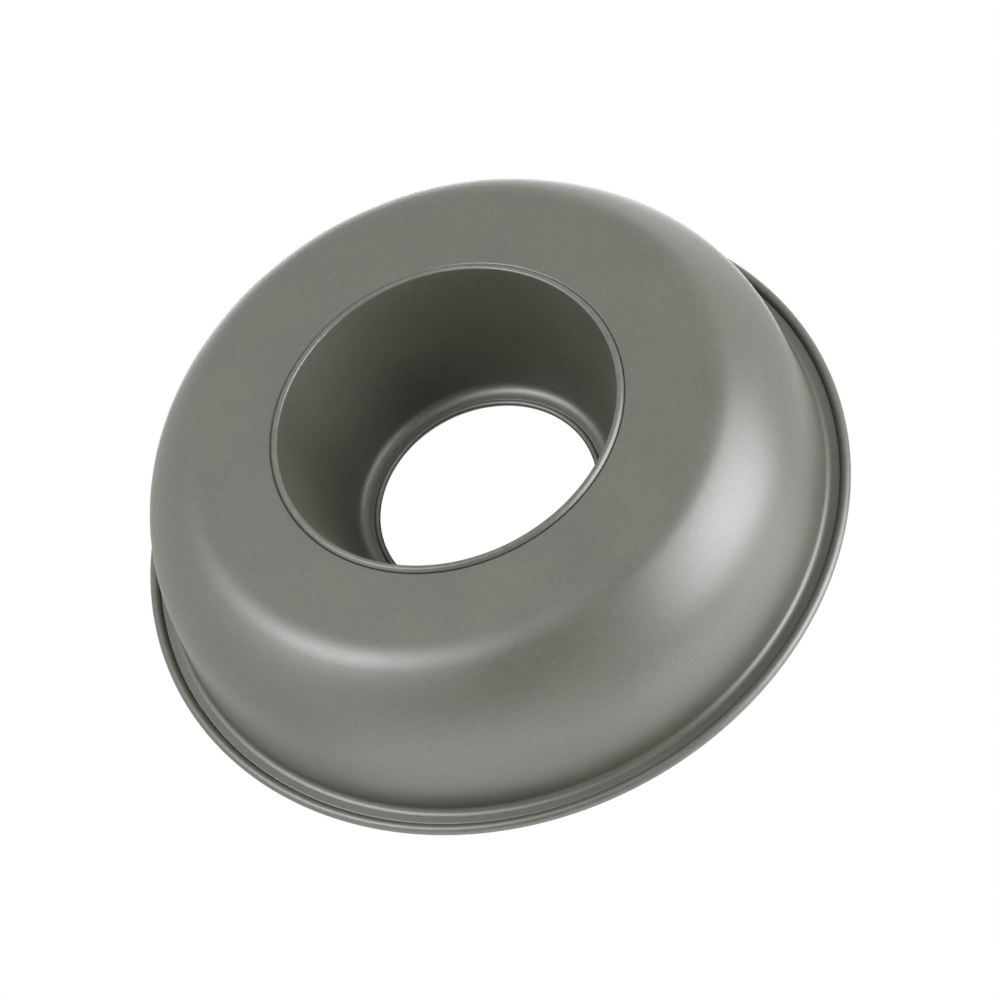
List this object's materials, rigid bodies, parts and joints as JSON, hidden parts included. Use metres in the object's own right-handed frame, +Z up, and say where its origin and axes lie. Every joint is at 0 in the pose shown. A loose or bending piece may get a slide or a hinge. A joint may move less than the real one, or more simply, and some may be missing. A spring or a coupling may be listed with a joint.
{
  "type": "ring cake pan",
  "caption": "Round cake pan with a conical centre tube, a flat ring-shaped base, a round shoulder, a flared wall and a rolled rim, for baking a ring-shaped cake.",
  "frame": {"origin": "on the centre axis, level with the lowest face of the seam that the pan stands on", "axes": "+Z up the centre axis, from the base towards the open side; the pan is round, so X and Y are free"},
  "size_m": [0.26, 0.26, 0.0658],
  "materials": {
    "nonstick_shell": "satin dark grey non-stick coating with a fine metallic grain",
    "nonstick_tube": "satin dark grey non-stick coating with a fine metallic grain",
    "bare_wire": "plain drawn wire"
  },
  "bodies": {
    "root": {"outer_shell": "nonstick_shell", "centre_tube": "nonstick_tube", "rim_wire": "bare_wire"}
  },
  "joints": []
}
